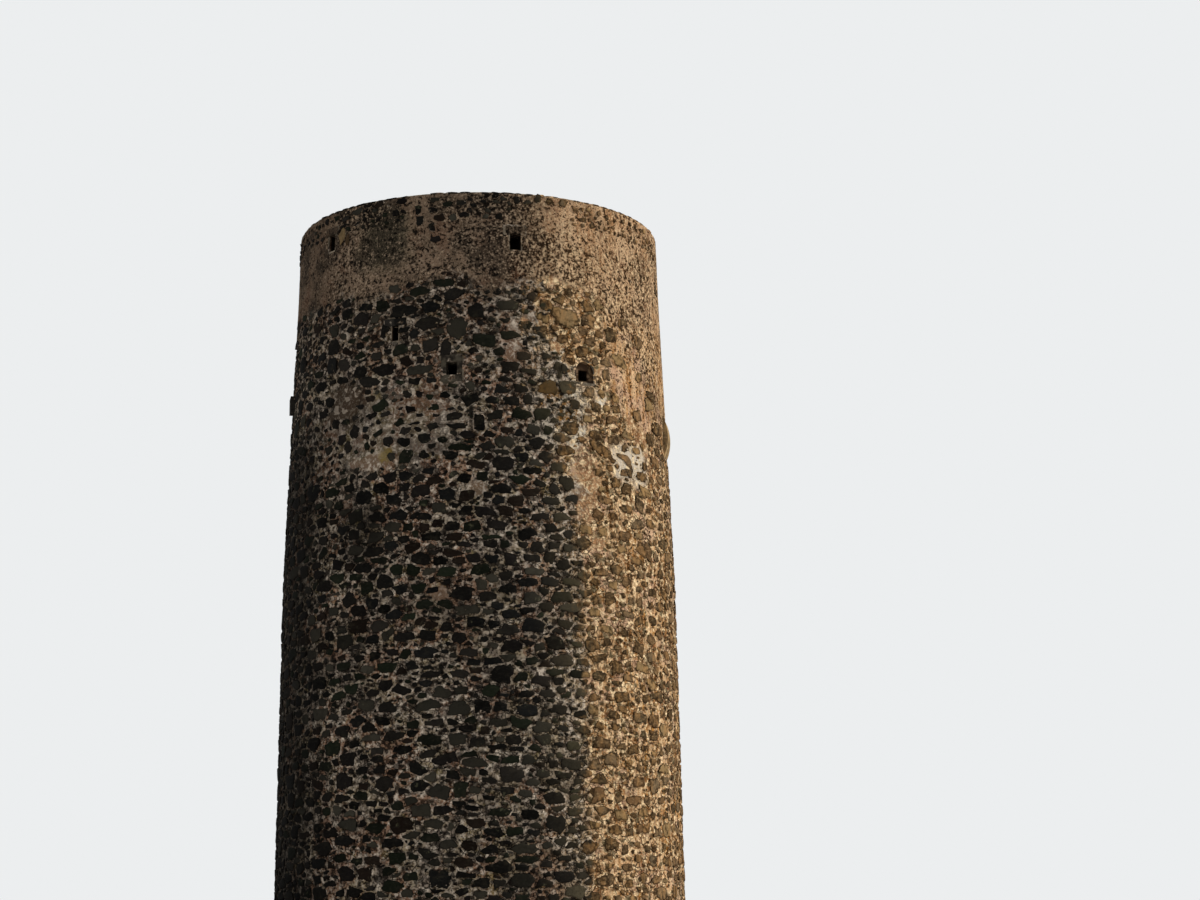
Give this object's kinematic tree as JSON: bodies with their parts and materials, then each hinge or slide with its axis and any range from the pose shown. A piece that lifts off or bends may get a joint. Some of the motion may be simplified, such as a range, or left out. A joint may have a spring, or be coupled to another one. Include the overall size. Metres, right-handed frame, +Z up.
{
  "type": "coastal watchtower",
  "caption": "Round tapered coastal watchtower of rubble masonry with a vaulted chamber, splayed loopholes, a raised doorway and a parapet terrace.",
  "frame": {"origin": "centre of the round foot, on the ground plane", "axes": "+Z up the tower's axis; -Y is the seaward front with the loopholes; +Y is the landward side with the doorway"},
  "size_m": [6.3818, 6.382, 11.1],
  "materials": {
    "rubble_facing": "rough rubble of dark stones in pale mortar",
    "ochre_facing": "rough rubble washed with ochre",
    "rendered_facing": "pitted lime render over rubble",
    "lime_paving": "rough lime paving",
    "squared_grey_stone": "squared stone, weathered",
    "dark_stone": "dark split stone",
    "vault_masonry": "rough lime-washed masonry",
    "pale_slab": "smooth weathered slab",
    "coping_stone": "dark split stone, weathered"
  },
  "bodies": {
    "root": {"foot_lift_1": "rubble_facing", "foot_lift_2": "rubble_facing", "foot_lift_3": "rubble_facing", "foot_top_lift": "rubble_facing", "low_wall_front": "rubble_facing", "low_wall_right": "rubble_facing", "low_wall_left": "rubble_facing", "centre_loophole_bay": "rubble_facing", "middle_wall_front": "rubble_facing", "middle_wall_right": "rubble_facing", "middle_wall_back": "rubble_facing", "middle_wall_left": "rubble_facing", "high_loophole_bay": "rubble_facing", "high_wall_right": "rubble_facing", "high_wall_left": "rubble_facing", "right_loophole_bay": "ochre_facing", "haunch_wall_front": "rendered_facing", "haunch_wall_back": "rendered_facing", "parapet_bay_front": "rendered_facing", "parapet_bay_right": "rendered_facing", "parapet_bay_back_right": "rendered_facing", "parapet_bay_back_left": "rendered_facing", "parapet_bay_left": "rendered_facing", "parapet_wall_front_right": "rendered_facing", "parapet_wall_right": "rendered_facing", "parapet_wall_back": "rendered_facing", "parapet_wall_left": "rendered_facing", "parapet_wall_front_left": "rendered_facing", "chamber_floor": "lime_paving", "door_threshold": "lime_paving", "terrace_paving": "lime_paving", "door_jambs": "squared_grey_stone", "door_lintel": "squared_grey_stone", "centre_loophole_frame": "squared_grey_stone", "hatch_kerb": "squared_grey_stone", "high_loophole_lintel": "dark_stone", "slot_lintels": "dark_stone", "left_projecting_block": "dark_stone", "vault_ring_1": "vault_masonry", "vault_ring_2": "vault_masonry", "vault_ring_3": "vault_masonry", "haunch_fill": "vault_masonry", "right_projecting_slab": "pale_slab", "coping": "coping_stone"}
  },
  "joints": []
}
